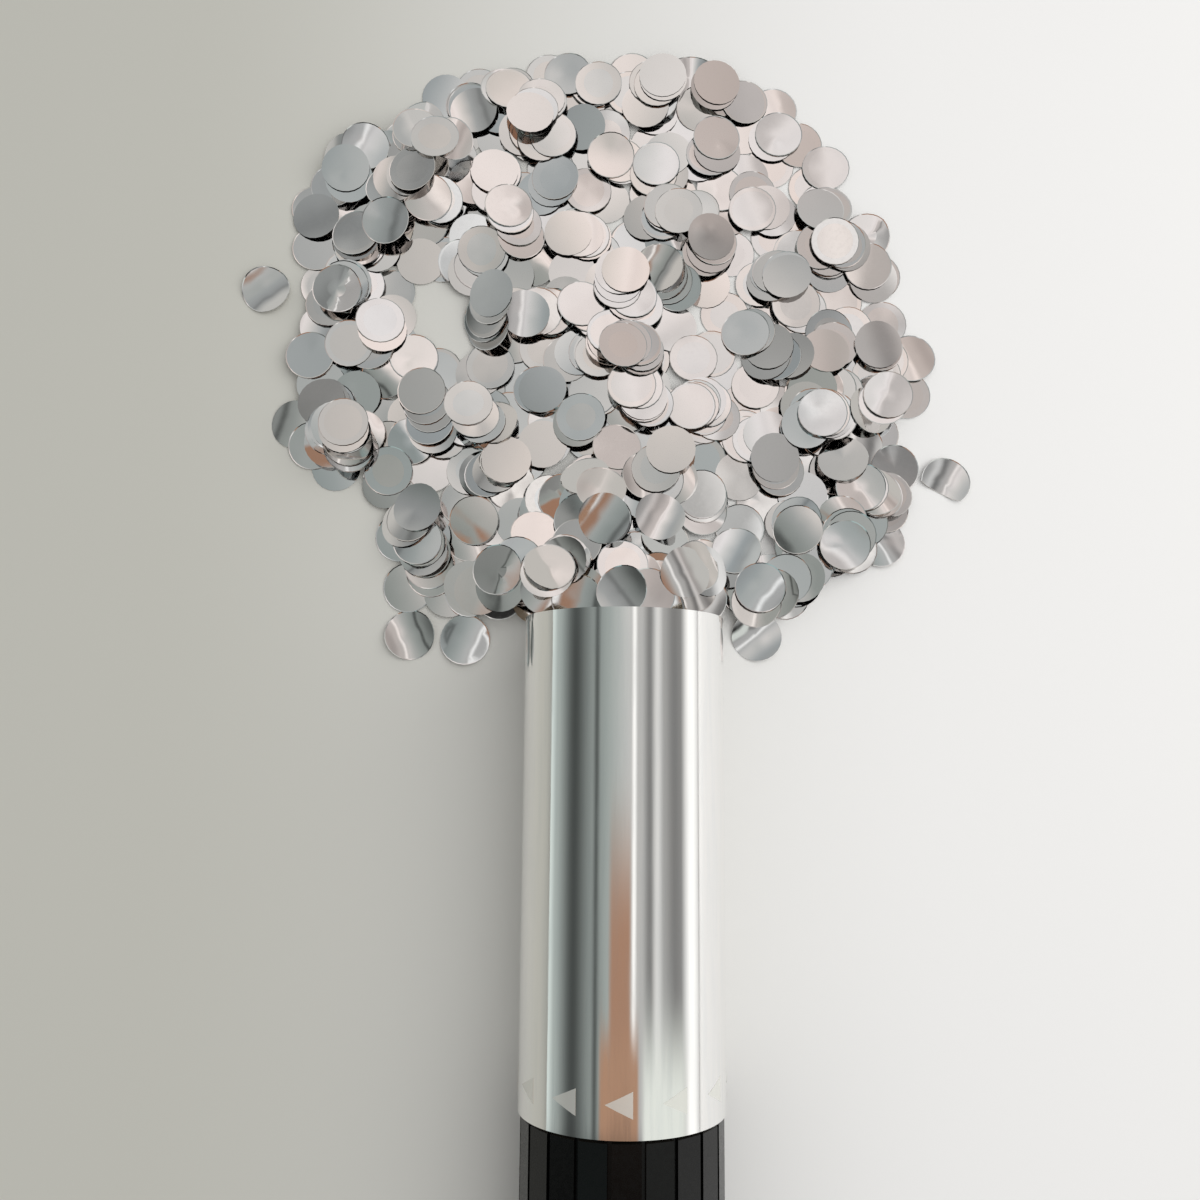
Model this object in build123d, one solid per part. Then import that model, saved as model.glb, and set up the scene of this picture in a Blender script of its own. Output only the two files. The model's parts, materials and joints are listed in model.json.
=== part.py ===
from build123d import *

import math
import os
import random

# A twist-action confetti popper lying on a table, with its foil confetti spilled from the mouth.
# Millimetres. +Y runs along the barrel to the mouth, +Z is up, and the table is at zero.
# Pieces of the popper are made upright on the Z axis, from the grip's base to the mouth, and laid down last.

# Barrel
silver_length = 118.0
foil_diameter = 50.0
foil_thickness = 0.3
tube_wall = 1.8

# Twist grip and its end cap
grip_length = 82.0
grip_step = 0.5
grip_wall = 2.4
grip_edge = 0.6
groove_count = 20
groove_width = 1.0
groove_depth = 0.8
groove_phase = 10.4
groove_foot = 5.0
shoulder_width = 2.3
shoulder_thickness = 2.5
register_depth = 8.0
cap_thickness = 3.0
cap_inset = 0.2
cap_edge = 0.8
cap_spigot_length = 6.0
cap_spigot_wall = 2.0

# Collar that joins the barrel and the grip, with the clip and the washer that keep the grip on
collar_wall = 1.8
collar_floor = 3.0
collar_land = 2.0
vent_gap = 1.2
vent_count = 6
vent_width = 4.0
vent_length = 4.0
vent_edge = 0.7
washer_thickness = 0.8
clip_thickness = 1.2
clip_depth = 0.9
clip_stand = 1.2
clip_opening = 40.0

# Gas bottle
bottle_reach = 20.0
bottle_wall = 1.0
bottle_end = 3.0
bottle_corner = 2.5
neck_diameter = 16.0
neck_bore = 11.0
neck_engagement = 10.0
gasket_thickness = 1.5

# Valve, plug and cam
plug_travel = 8.0
twist_angle = 90.0
plug_bore = 8.0
sleeve_wall = 2.5
sleeve_lift = 0.5
socket_wall = 2.5
socket_sides = 6
valve_wall = 3.0
port_count = 4
port_width = 3.0
port_length = 6.0
port_rise = 1.0
pin_diameter = 3.0
plug_tail = 6.0
seal_width = 1.8
seal_height = 1.8
seal_land = 1.0
head_land = 1.5
head_room = 0.5
cam_wall = 3.5
cam_foot_wall = 8.0
cam_end_wall = 3.0
cam_key_width = 3.0
cam_key_height = 5.0
boss_wall = 2.0
spring_wire = 0.8
spring_diameter = 6.2
spring_turns = 4
spring_sides = 5
spring_seat_wall = 1.2
spring_post_height = 2.0

# Bottle cradle and wad
cradle_thickness = 3.0
cradle_arm = 7.0
hub_diameter = 18.0
hub_bore = 11.0
wad_card_thickness = 1.5
wad_felt_thickness = 8.0

# Confetti
disc_diameter = 13.0
disc_thickness = 0.2
disc_sides = 8
disc_gap = 0.25
heap_count = 96
heap_radius = 94.0
heap_ahead = 80.0
heap_aside = -6.0
heap_seed = 4
placing_tries = 5
fan_count = 16
fan_size = 4
fan_step = 2.2
mound_count = 40
mound_width = 19.0
mound_reach = 14.0
loose_lean = 0.3
lean_hold = 8.0
steepest_lean = 0.7
lean_steps = (0.2, 0.05, 0.0125)
barrel_gap = 2.0
stray_left_out = 10.0
stray_right_out = 9.5
stray_front_out = 1.0
stray_left_ahead = 98.0
stray_right_ahead = 43.0
stray_front_aside = -16.0
loose_discs = [(-59.0, 11.5), (-58.5, -2.5), (-43.3, -2.9), (37.0, -1.2), (45.5, 11.5), (71.8, 25.2)]

# Clearances
running_gap = 0.3
seat_gap = 0.03
plug_fit = 0.08
seal_fit = 0.03

# Radii, from the outside in
foil_radius = foil_diameter / 2
tube_radius = foil_radius - foil_thickness - seat_gap
tube_bore = tube_radius - tube_wall
grip_radius = foil_radius - grip_step
land_radius = grip_radius * math.cos(math.pi / groove_count)
grip_bore = grip_radius - grip_wall
shoulder_bore = grip_bore - shoulder_width
spigot_radius = tube_bore - seat_gap
register_radius = grip_bore - running_gap
collar_neck = shoulder_bore - running_gap
collar_bore = min(spigot_radius, register_radius, collar_neck) - collar_wall
bottle_radius = collar_bore - vent_gap
neck_radius = neck_diameter / 2

# Radii of the valve, from the inside out
pin_radius = pin_diameter / 2
plug_bore_radius = plug_bore / 2
plug_radius = plug_bore_radius - plug_fit
sleeve_radius = plug_bore_radius + sleeve_wall
cam_bore = sleeve_radius + running_gap
cam_radius = cam_bore + cam_wall
boss_bore = cam_radius + seat_gap
boss_radius = boss_bore + boss_wall
socket_bore = neck_radius + seat_gap
socket_radius = socket_bore + socket_wall
seal_bore = plug_bore_radius - seal_fit - seal_width

# The cam slot climbs with the pin, and is widest where the climb is steepest, at the bore
cam_climb = math.atan(plug_travel / (math.radians(twist_angle) * cam_bore))
slot_half = (pin_radius + running_gap) / math.cos(cam_climb)
slot_end_angle = math.degrees(math.asin((pin_radius + running_gap) / cam_bore))
slot_end_rise = plug_travel * slot_end_angle / twist_angle

# Stations along the axis, from the base up
pin_low = cap_thickness + cam_foot_wall + slot_half + slot_end_rise
pin_home = pin_low + plug_travel
cam_top = pin_home + slot_end_rise + slot_half + cam_end_wall
port_low = cam_top + port_rise
port_high = port_low + port_length
seal_home = port_high + seal_land + seal_height / 2
plug_head = seal_home + seal_height / 2 + head_land
plug_foot = pin_home - plug_tail
spring_seat = pin_home - pin_radius - spring_seat_wall
sleeve_foot = cap_thickness + sleeve_lift
gasket_seat = plug_head + head_room
bottle_lip = gasket_seat + gasket_thickness
floor_low = bottle_lip + neck_engagement
floor_top = floor_low + collar_floor
tube_foot = grip_length
mouth = tube_foot + silver_length
grip_top = tube_foot - running_gap
collar_step = tube_foot - register_depth
shoulder_top = collar_step - running_gap
shoulder_low = shoulder_top - shoulder_thickness
washer_top = shoulder_low - running_gap
clip_top = washer_top - washer_thickness
clip_low = clip_top - clip_thickness
collar_foot = min(floor_low, clip_low - collar_land)
bottle_top = tube_foot + bottle_reach
cradle_top = bottle_top + cradle_thickness
wad_foot = cradle_top + running_gap

# Where the popper lies, with the origin under the middle of the whole spread
spill_left = heap_radius - heap_aside + stray_left_out
spill_right = heap_radius + heap_aside + stray_right_out
spill_reach = heap_radius + heap_ahead + stray_front_out
axis_x = (spill_left - spill_right) / 2
mouth_y = (mouth - spill_reach) / 2
axis_z = max(foil_radius, grip_radius)


def ring(inner, outer, low, high):
    return Pos(0, 0, low) * extrude(Circle(outer) - Circle(inner), high - low)


def rod(radius, low, high):
    return Pos(0, 0, low) * extrude(Circle(radius), high - low)


def around(count, piece):
    return [Rot(0, 0, 360 * i / count) * piece for i in range(count)]


def bar(width, inner, outer, low, high):
    return Pos((inner + outer) / 2, 0, (low + high) / 2) * Box(outer - inner, width, high - low)


# Barrel: card tube and its foil wrap
def foil_wrap():
    return ring(foil_radius - foil_thickness, foil_radius, tube_foot, mouth)


def barrel_tube():
    return ring(tube_bore, tube_radius, tube_foot, mouth)


# Collar: glued in the tube, with a register and a neck that the grip turns on, and a floor under the bottle
def base_collar():
    body = ring(collar_bore, collar_neck, collar_foot, collar_step)
    body += ring(collar_bore, register_radius, collar_step, tube_foot)
    body += ring(collar_bore, spigot_radius, tube_foot, bottle_top)
    body += ring(socket_bore, (collar_bore + collar_neck) / 2, floor_low, floor_top)
    body -= ring(collar_neck - clip_depth, collar_neck + clip_depth, clip_low, clip_top)
    vent_outer = collar_bore - vent_edge
    vent = bar(vent_width, vent_outer - vent_length, vent_outer, floor_low, floor_top)
    for cut in around(vent_count, vent):
        body -= cut
    return body


def retaining_clip():
    body = ring(collar_neck - clip_depth + seat_gap, collar_neck + clip_stand, clip_low, clip_top)
    reach = collar_neck + clip_stand
    half = math.radians(clip_opening / 2)
    wedge = make_face(Polyline((0, 0), (reach / math.cos(half), -reach * math.tan(half) / math.cos(half)),
                               (reach / math.cos(half), reach * math.tan(half) / math.cos(half)), close=True))
    return body - Pos(0, 0, clip_low) * extrude(wedge, clip_thickness)


def thrust_washer():
    return ring(collar_neck + seat_gap, register_radius, clip_top, washer_top)


# Gas bottle: thin wall between two thick ends, neck down
def bottle_outline(radius, neck, lip, shoulder, top):
    return make_face(Polyline((0, top), (radius, top), (radius, shoulder), (neck, shoulder), (neck, lip),
                              (0, lip), close=True))


def gas_bottle():
    outside = bottle_outline(bottle_radius, neck_radius, bottle_lip, floor_top, bottle_top)
    outside = chamfer(outside.vertices().group_by(Axis.X)[-1], bottle_corner)
    inside = bottle_outline(bottle_radius - bottle_wall, neck_bore / 2, bottle_lip - bottle_wall,
                            floor_top + bottle_end, bottle_top - bottle_end)
    return revolve(Plane.XZ * outside, axis=Axis.Z) - revolve(Plane.XZ * inside, axis=Axis.Z)


def neck_gasket():
    return ring(neck_bore / 2, neck_radius, gasket_seat, bottle_lip)


# Valve body: six-sided socket on the bottle's neck, and a sleeve that guides the plug and its cross pin
def valve_body():
    socket = RegularPolygon(socket_radius, socket_sides, major_radius=False)
    body = Pos(0, 0, gasket_seat - valve_wall) * extrude(socket, floor_low - gasket_seat + valve_wall)
    body -= rod(socket_bore, gasket_seat, floor_low)
    body += rod(sleeve_radius, sleeve_foot, gasket_seat - valve_wall)
    body -= rod(plug_bore_radius, sleeve_foot, gasket_seat)
    guide = bar(pin_diameter + 2 * running_gap, 0, sleeve_radius + running_gap, sleeve_foot, pin_home)
    guide += Pos(0, 0, pin_home) * Rot(0, 90, 0) * Cylinder(
        pin_radius + running_gap, sleeve_radius + running_gap, align=(Align.CENTER, Align.CENTER, Align.MIN))
    for cut in around(2, guide):
        body -= cut
    port = bar(port_width, 0, sleeve_radius + running_gap, port_low, port_high)
    for cut in around(port_count, port):
        body -= cut
    return body


# Plug: held in the bottle's valve by the cross pin until the cam lets it back past the ports
def valve_plug():
    body = rod(plug_radius, plug_foot, plug_head)
    groove_half = seal_height / 2 + seat_gap
    body -= ring(seal_bore - seat_gap, plug_bore_radius, seal_home - groove_half, seal_home + groove_half)
    body -= Pos(0, 0, pin_home) * Rot(0, 90, 0) * Cylinder(pin_radius + seat_gap, plug_bore)
    body -= rod(spring_diameter / 2 + running_gap, plug_foot, spring_seat)
    return body


def plug_seal():
    return ring(seal_bore, seal_bore + seal_width, seal_home - seal_height / 2, seal_home + seal_height / 2)


def cross_pin():
    return Pos(0, 0, pin_home) * Rot(0, 90, 0) * Cylinder(pin_radius, 2 * (cam_radius - running_gap))


# Spring: one wire on biarcs of a quarter turn, from the end cap up into the plug
def biarc(start, start_way, end, end_way):
    across = end - start
    both = start_way + end_way
    turn = 2 * (1 - start_way.dot(end_way))
    lead = across.dot(both)
    reach = (math.sqrt(lead * lead + turn * across.dot(across)) - lead) / turn
    middle = (start + end + (start_way - end_way) * reach) * 0.5
    middle_way = (end - end_way * reach - start - start_way * reach).normalized()
    return [TangentArc(start, middle, tangent=start_way), TangentArc(middle, end, tangent=middle_way)]


def plug_spring():
    arc_samples = 16
    wire_radius = spring_wire / 2
    coil_radius = spring_diameter / 2 - wire_radius
    low = cap_thickness + wire_radius + seat_gap
    high = spring_seat - wire_radius - seat_gap
    quarters = 4 * spring_turns
    rise = (high - low) / quarters

    def coil_point(quarter):
        angle = quarter * math.pi / 2
        return Vector(coil_radius * math.cos(angle), coil_radius * math.sin(angle), low + rise * quarter)

    def coil_way(quarter):
        angle = quarter * math.pi / 2
        flat = coil_radius * math.pi / 2
        return Vector(-flat * math.sin(angle), flat * math.cos(angle), rise).normalized()

    arcs = []
    for quarter in range(quarters):
        arcs += biarc(coil_point(quarter), coil_way(quarter), coil_point(quarter + 1), coil_way(quarter + 1))
    coil = Wire(arcs)
    section = Plane(origin=coil_point(0), z_dir=coil_way(0)) * RegularPolygon(wire_radius, spring_sides)
    samples = arc_samples * quarters
    points = [coil @ (i / samples) for i in range(samples + 1)]
    half_turn = samples // (2 * spring_turns)
    least = min((points[i] - points[j]).length
                for i in range(samples + 1) for j in range(i + half_turn, samples + 1))
    print("spring's least gap to itself:", round(least - spring_wire, 2), "mm")
    return sweep(section, path=coil)


# Cam sleeve: turns with the grip, and its two climbing slots draw the pin down
def cam_slot():
    sweep_angle = twist_angle + 2 * slot_end_angle
    rise = plug_travel + 2 * slot_end_rise
    middle = (cam_bore + cam_radius) / 2
    path = Helix(pitch=rise * 360 / sweep_angle, height=rise, radius=middle, lefthand=True)
    start = path @ 0
    section = Plane(origin=start, x_dir=(1, 0, 0), z_dir=(0, 1, 0)) * Rectangle(2 * cam_wall, 2 * slot_half)
    slot = sweep(section, path=path, is_frenet=True)
    return Pos(0, 0, pin_low - slot_end_rise) * Rot(0, 0, twist_angle + slot_end_angle) * slot


def cam_sleeve():
    body = ring(cam_bore, cam_radius, cap_thickness, cam_top)
    for key in around(2, Rot(0, 0, 90) * bar(cam_key_width, (cam_bore + cam_radius) / 2, boss_radius,
                                             cap_thickness, cap_thickness + cam_key_height)):
        body += key
    for cut in around(2, cam_slot()):
        body -= cut
    return body


# Grip: flat lands between narrow grooves, with a shoulder inside that runs on the collar's neck
def twist_grip():
    phase = groove_phase - 90
    lands = RegularPolygon(grip_radius, groove_count, rotation=phase)
    body = extrude(lands, grip_top - cap_thickness)
    body = chamfer(body.edges().group_by(Axis.Z)[0] + body.edges().group_by(Axis.Z)[-1], grip_edge)
    body = Pos(0, 0, cap_thickness) * body
    body -= rod(grip_bore, cap_thickness, grip_top)
    body += ring(shoulder_bore, (grip_bore + land_radius) / 2, shoulder_low, shoulder_top)
    groove = bar(groove_width, grip_radius - groove_depth, grip_radius + groove_depth, groove_foot, grip_top)
    for cut in around(groove_count, Rot(0, 0, phase) * groove):
        body -= cut
    return body


def end_cap():
    body = rod(land_radius - cap_inset, 0, cap_thickness)
    body = chamfer(body.edges().group_by(Axis.Z)[0], cap_edge)
    spigot = grip_bore - seat_gap
    body += ring(spigot - cap_spigot_wall, spigot, cap_thickness, cap_thickness + cap_spigot_length)
    boss = ring(boss_bore, boss_radius, cap_thickness, cap_thickness + cam_key_height)
    notch = bar(cam_key_width + 2 * seat_gap, cam_bore, boss_radius + boss_wall, cap_thickness,
                cap_thickness + cam_key_height)
    for cut in around(2, Rot(0, 0, 90) * notch):
        boss -= cut
    body += boss
    post = spring_diameter / 2 - spring_wire - running_gap
    body += rod(post, cap_thickness, cap_thickness + spring_post_height)
    return body


# Cradle on the collar's top: a hub on the bottle and a cross of arms to the tube, open between for the gas
def bottle_cradle():
    reach = tube_bore - seat_gap
    cross = Circle(hub_diameter / 2)
    for angle in (0, 90):
        cross += Rot(0, 0, angle) * Rectangle(2 * reach, cradle_arm)
    cross = cross & Circle(reach)
    cross -= Circle(hub_bore / 2)
    return Pos(0, 0, bottle_top) * extrude(cross, cradle_thickness)


def wad_card():
    return rod(tube_bore - running_gap, wad_foot, wad_foot + wad_card_thickness)


def wad_felt():
    low = wad_foot + wad_card_thickness
    return rod(tube_bore - running_gap, low, low + wad_felt_thickness)


# Confetti: each disc comes to rest on the table and on the discs below it, the later ones more on a lean
def rim_points(x, y):
    radius = disc_diameter / 2
    turns = [2 * math.pi * i / (2 * disc_sides) for i in range(2 * disc_sides)]
    return [(x + radius * math.cos(t), y + radius * math.sin(t)) for t in turns]


def under_top(disc, x, y):
    lean = math.hypot(disc["lean_x"], disc["lean_y"])
    top = disc["height"] + (disc_thickness + disc_gap) * math.hypot(1, lean)
    return top + disc["lean_x"] * (x - disc["x"]) + disc["lean_y"] * (y - disc["y"])


def shared_points(x, y, disc):
    apart = math.hypot(x - disc["x"], y - disc["y"])
    if apart >= disc_diameter:
        return []
    points = [p for p in rim_points(x, y) if math.dist(p, (disc["x"], disc["y"])) <= disc_diameter / 2]
    points += [p for p in rim_points(disc["x"], disc["y"]) if math.dist(p, (x, y)) <= disc_diameter / 2]
    middle_x = (x + disc["x"]) / 2
    middle_y = (y + disc["y"]) / 2
    half_chord = math.sqrt(disc_diameter ** 2 - apart ** 2) / 2
    for side in (-half_chord, half_chord):
        points.append((middle_x - side * (y - disc["y"]) / apart, middle_y + side * (x - disc["x"]) / apart))
    return points


def settle(x, y, discs, lean_x=0.0, lean_y=0.0, hold=0.0):
    held = [(px - x, py - y, 0.0) for px, py in rim_points(x, y)]
    for disc in discs:
        held += [(px - x, py - y, under_top(disc, px, py)) for px, py in shared_points(x, y, disc)]

    def height(lean):
        return max(h - lean[0] * u - lean[1] * v for u, v, h in held)

    def effort(lean):
        return height(lean) + hold * math.dist(lean, (lean_x, lean_y)) ** 2

    best = (0.0, 0.0)
    for step in lean_steps:
        near = [(best[0] + step * i, best[1] + step * j) for i in range(-3, 4) for j in range(-3, 4)]
        best = min([lean for lean in near if math.hypot(*lean) <= steepest_lean], key=effort)
    return {"x": x, "y": y, "lean_x": best[0], "lean_y": best[1], "height": height(best)}


def within_heap(x, y):
    radius = disc_diameter / 2
    ahead = y - radius > barrel_gap
    beside = abs(x) - radius > foil_radius + barrel_gap
    return (ahead or beside) and math.dist((x, y), (heap_aside, heap_ahead)) <= heap_radius - radius


def any_place(draw):
    while True:
        x = heap_aside + draw.uniform(-heap_radius, heap_radius)
        y = heap_ahead + draw.uniform(-heap_radius, heap_radius)
        if within_heap(x, y):
            return x, y


def open_place(draw, discs):
    tries = [any_place(draw) for _ in range(placing_tries)]
    return max(tries, key=lambda p: min(math.dist(p, (d["x"], d["y"])) for d in discs))


def spread_confetti():
    radius = disc_diameter / 2
    loose = [(radius - spill_left, stray_left_ahead), (spill_right - radius, stray_right_ahead),
             (stray_front_aside, spill_reach - radius)] + loose_discs
    strays = []
    for x, y in loose:
        strays.append(settle(x, y, strays))
    draw = random.Random(heap_seed)
    heap = []
    for _ in range(heap_count):
        heap.append(settle(*open_place(draw, strays + heap), strays + heap))
    fans = strays[:1]
    for _ in range(fan_count):
        x, y = open_place(draw, fans)
        way = draw.uniform(0, 2 * math.pi)
        lean = [draw.gauss(0, loose_lean) for _ in range(2)]
        fans.append({"x": x, "y": y})
        for i in range(fan_size):
            fan_x = x + fan_step * i * math.cos(way)
            fan_y = y + fan_step * i * math.sin(way)
            if within_heap(fan_x, fan_y):
                heap.append(settle(fan_x, fan_y, strays + heap, *lean, lean_hold))
    for _ in range(mound_count):
        x = draw.gauss(0, mound_width)
        y = radius + barrel_gap + abs(draw.gauss(0, mound_reach))
        lean = [draw.gauss(0, loose_lean) for _ in range(2)]
        heap.append(settle(x, y, strays + heap, *lean, lean_hold))
    return heap, strays


def disc_solid(disc):
    face = Plane(origin=(axis_x + disc["x"], mouth_y + disc["y"], disc["height"]),
                 z_dir=(-disc["lean_x"], -disc["lean_y"], 1))
    return extrude(face * RegularPolygon(disc_diameter / 2, disc_sides), disc_thickness).solid()


popper = [foil_wrap, barrel_tube, base_collar, retaining_clip, thrust_washer, gas_bottle, neck_gasket,
          valve_body, bottle_cradle, twist_grip, end_cap, cam_sleeve, valve_plug, plug_seal, cross_pin,
          plug_spring, wad_card, wad_felt]
lay_down = Pos(axis_x, mouth_y - mouth, axis_z) * Rot(-90, 0, 0)
os.makedirs("parts", exist_ok=True)
for make in popper:
    export_step(lay_down * make(), f"parts/{make.__name__}.step")
heap, strays = spread_confetti()
for name, discs in {"confetti_heap": heap, "confetti_strays": strays}.items():
    export_step(Compound([disc_solid(disc) for disc in discs]), f"parts/{name}.step")
print("axis at x", round(axis_x, 3), "z", axis_z, "base at y", round(mouth_y - mouth, 3),
      "mouth at y", mouth_y)
print("stations: pin", round(pin_home, 2), "lip", round(bottle_lip, 2), "floor", round(floor_low, 2),
      "clip", round(clip_low, 2), "bottle top", bottle_top, "wad", round(wad_foot, 2))
print("radii: bottle", round(bottle_radius, 2), "collar bore", round(collar_bore, 2),
      "tube bore", round(tube_bore, 2))
heights = sorted(d["height"] for d in heap)
print("heap of", len(heap), "discs, middle height", round(heights[len(heap) // 2], 2), "and top",
      round(heights[-1], 2))
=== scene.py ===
import bpy
import json
import math
import random
import numpy as np
from mathutils import Matrix, Vector


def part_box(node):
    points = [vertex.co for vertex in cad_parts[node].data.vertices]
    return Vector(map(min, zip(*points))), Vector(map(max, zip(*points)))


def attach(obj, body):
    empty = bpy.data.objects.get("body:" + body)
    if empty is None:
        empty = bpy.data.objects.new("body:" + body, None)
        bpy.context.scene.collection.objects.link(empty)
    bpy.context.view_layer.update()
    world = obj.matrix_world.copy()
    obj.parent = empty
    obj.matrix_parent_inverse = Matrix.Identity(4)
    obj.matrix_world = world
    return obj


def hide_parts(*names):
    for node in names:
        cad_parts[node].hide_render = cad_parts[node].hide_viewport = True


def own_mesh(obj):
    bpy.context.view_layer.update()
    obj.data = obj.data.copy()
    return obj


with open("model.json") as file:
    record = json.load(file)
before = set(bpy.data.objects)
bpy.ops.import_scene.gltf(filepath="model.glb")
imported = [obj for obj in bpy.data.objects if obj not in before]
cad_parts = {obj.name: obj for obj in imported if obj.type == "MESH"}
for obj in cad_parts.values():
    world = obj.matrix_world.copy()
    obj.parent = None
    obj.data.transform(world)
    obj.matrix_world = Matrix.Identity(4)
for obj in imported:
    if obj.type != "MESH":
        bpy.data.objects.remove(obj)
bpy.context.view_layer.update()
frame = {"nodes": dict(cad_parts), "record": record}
nodes = frame["nodes"]
mm = 0.001

# Places taken from the frame, in metres
foilLow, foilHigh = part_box("foil_wrap")
axisX = (foilLow.x + foilHigh.x) / 2
axisZ = (foilLow.z + foilHigh.z) / 2
foilRadius = (foilHigh.x - foilLow.x) / 2
mouthY = foilHigh.y
seamY = foilLow.y
boreRadius = min(math.hypot(v.co.x - axisX, v.co.z - axisZ) for v in nodes["barrel_tube"].data.vertices)


# From levels of 0 to 255 to the linear colours of the shaders
def srgb(red, green, blue):
    def linear(value):
        share = value / 255
        return share / 12.92 if share <= 0.04045 else ((share + 0.055) / 1.055) ** 2.4
    return (linear(red), linear(green), linear(blue), 1.0)


def grey(level):
    return srgb(level, level, level)


def clampShare(value):
    return min(max(value, 0.0), 1.0)


def addNode(tree, kind, values=None, **settings):
    node = tree.nodes.new(kind)
    for key, value in settings.items():
        setattr(node, key, value)
    for key, value in (values or {}).items():
        node.inputs[key].default_value = value
    return node


def feed(tree, socket, value):
    if isinstance(value, bpy.types.NodeSocket):
        tree.links.new(value, socket)
    else:
        socket.default_value = value


def maths(tree, operation, first, second=0.0):
    node = addNode(tree, "ShaderNodeMath", operation=operation)
    feed(tree, node.inputs[0], first)
    feed(tree, node.inputs[1], second)
    return node.outputs[0]


def blendColours(tree, share, first, second, way="MIX"):
    node = addNode(tree, "ShaderNodeMix", data_type="RGBA", blend_type=way)
    feed(tree, node.inputs[0], share)
    feed(tree, node.inputs[6], first)  # inputs 6 and 7 and output 2 are the node's colours
    feed(tree, node.inputs[7], second)
    return node.outputs[2]


def mapRange(tree, value, low, high, newLow=0.0, newHigh=1.0):
    limits = {"From Min": low, "From Max": high, "To Min": newLow, "To Max": newHigh}
    node = addNode(tree, "ShaderNodeMapRange", limits, interpolation_type="SMOOTHSTEP")
    tree.links.new(value, node.inputs["Value"])
    return node.outputs[0]


def ramp(tree, value, stops):
    node = addNode(tree, "ShaderNodeValToRGB")
    elements = node.color_ramp.elements
    while len(elements) < len(stops):
        elements.new(0.5)  # its place is set below
    for element, (place, colour) in zip(elements, stops):
        element.position = place
        element.color = colour
    tree.links.new(value, node.inputs[0])
    return node.outputs[0]


def newMaterial(name):
    material = bpy.data.materials.new(name)
    material.use_nodes = True
    return material, material.node_tree, material.node_tree.nodes["Principled BSDF"]


# Camera
camera = {"aside": -6.2 * mm, "behindMouth": 36.2 * mm, "aboveAxis": 289.6 * mm, "pitch": 8.1, "roll": 0.44,
          "focalPixels": 1146.0, "framePixels": 1200.0, "sensor": 36.0, "clipStart": 0.01}


def buildCamera():
    pitch = math.radians(camera["pitch"])
    roll = math.radians(camera["roll"])
    forward = Vector((0, math.sin(pitch), -math.cos(pitch)))
    up = Vector((0, math.cos(pitch), math.sin(pitch)))
    right = Vector((1, 0, 0))
    across = right * math.cos(roll) + up * math.sin(roll)
    upright = up * math.cos(roll) - right * math.sin(roll)
    turned = Matrix((across, upright, -forward)).transposed().to_4x4()
    place = Vector((axisX + camera["aside"], mouthY - camera["behindMouth"], axisZ + camera["aboveAxis"]))
    data = bpy.data.cameras.new("camera")
    data.sensor_width = camera["sensor"]
    data.lens = camera["focalPixels"] / camera["framePixels"] * camera["sensor"]
    data.clip_start = camera["clipStart"]
    holder = bpy.data.objects.new("camera", data)
    holder.matrix_world = Matrix.Translation(place) @ turned
    bpy.context.scene.collection.objects.link(holder)
    bpy.context.scene.camera = holder


# Studio: a pale table, soft light, and a room of walls, strips and cards that only reflections show. The
# table's two tones are painted light: greyer on the left, whiter on the right toward the lamp.
# Angles are degrees round the barrel's axis from straight up, levels are greys of 0 to 255, and the
# other ranges of the room are parts of a direction, across, along the barrel or upward.
studio = {
    "tableHalf": 6.0, "tableRoughness": 0.6,
    # painted light: the table is greyer on the left and whiter on the right, as if lit more from the lamp's
    # side
    "tablePaintedLightTones": (srgb(203, 202, 193), srgb(247, 246, 244)), "tablePaintedLightTurn": (-0.13, 0.1),  # in metres, across
    "backdrop": srgb(228, 228, 225),
    "skyLevels": (0.4, 0.66), "skyWay": (0.8, 0.35),  # the sky brightens this way, across and along
    "lamp": {"place": (0.55, 0.15, 0.75), "aim": (0.05, 0.05, 0.0), "size": (1.0, 1.2), "watts": 5.6},
    "walls": [(-180, 172), (-80, 170), (-30, 140), (4, 192), (26, 172), (66, 140), (77, 255), (180, 255)],
    "strips": [(-90, 9, 214), (-57, 26, 72), (-31, 5, 88), (11, 4, 252), (28, 9, 124), (37, 8, 210),
               (58, 14, 122), (91, 8, 218)],  # middle, half width and level
    "stripsFade": 0.75,  # how much of the strips is lost toward the heap
    "ahead": (0.08, 0.5),  # where the near tints give way to the far ones
    "nearTints": [(-0.35, (0.49, 0.545, 0.525, 1.0)), (0.15, (0.53, 0.528, 0.518, 1.0)),
                  (0.6, (0.551, 0.549, 0.539, 1.0))],
    "farTints": [(-0.24, (0.59, 0.62, 0.62, 1.0)), (-0.03, (0.87, 0.835, 0.8, 1.0)),
                 (0.08, (1.0, 0.93, 0.905, 1.0)), (0.2, (0.72, 0.655, 0.625, 1.0))],
    "gain": 1.96,
    "horizon": {"colour": srgb(206, 206, 202), "ahead": (0.15, 0.4), "behind": (-0.4, -0.6),
                "below": (0.75, 0.5)},
    "cards": [{"colour": srgb(166, 130, 108), "from": (-18, -12), "to": (10, 5), "behind": (0.0, -0.15),
               "until": (-0.36, -0.32)},
              {"colour": srgb(172, 136, 112), "from": (-28, -23), "to": (18, 14), "behind": (-0.2, -0.24),
               "until": (-0.36, -0.32)},
              {"colour": srgb(46, 46, 45), "from": (-110, -95), "to": (48, 36), "behind": (-0.284, -0.318),
               "until": (-0.62, -0.5)},
              {"colour": srgb(226, 230, 224), "from": (18, 24), "to": (76, 66), "behind": (-0.18, -0.27),
               "until": (-0.42, -0.34)},
              {"colour": srgb(176, 206, 206), "from": (-50, -44), "to": (-20, -26), "behind": (-0.3, -0.42),
               "until": (-0.7, -0.6)}]}


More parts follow.
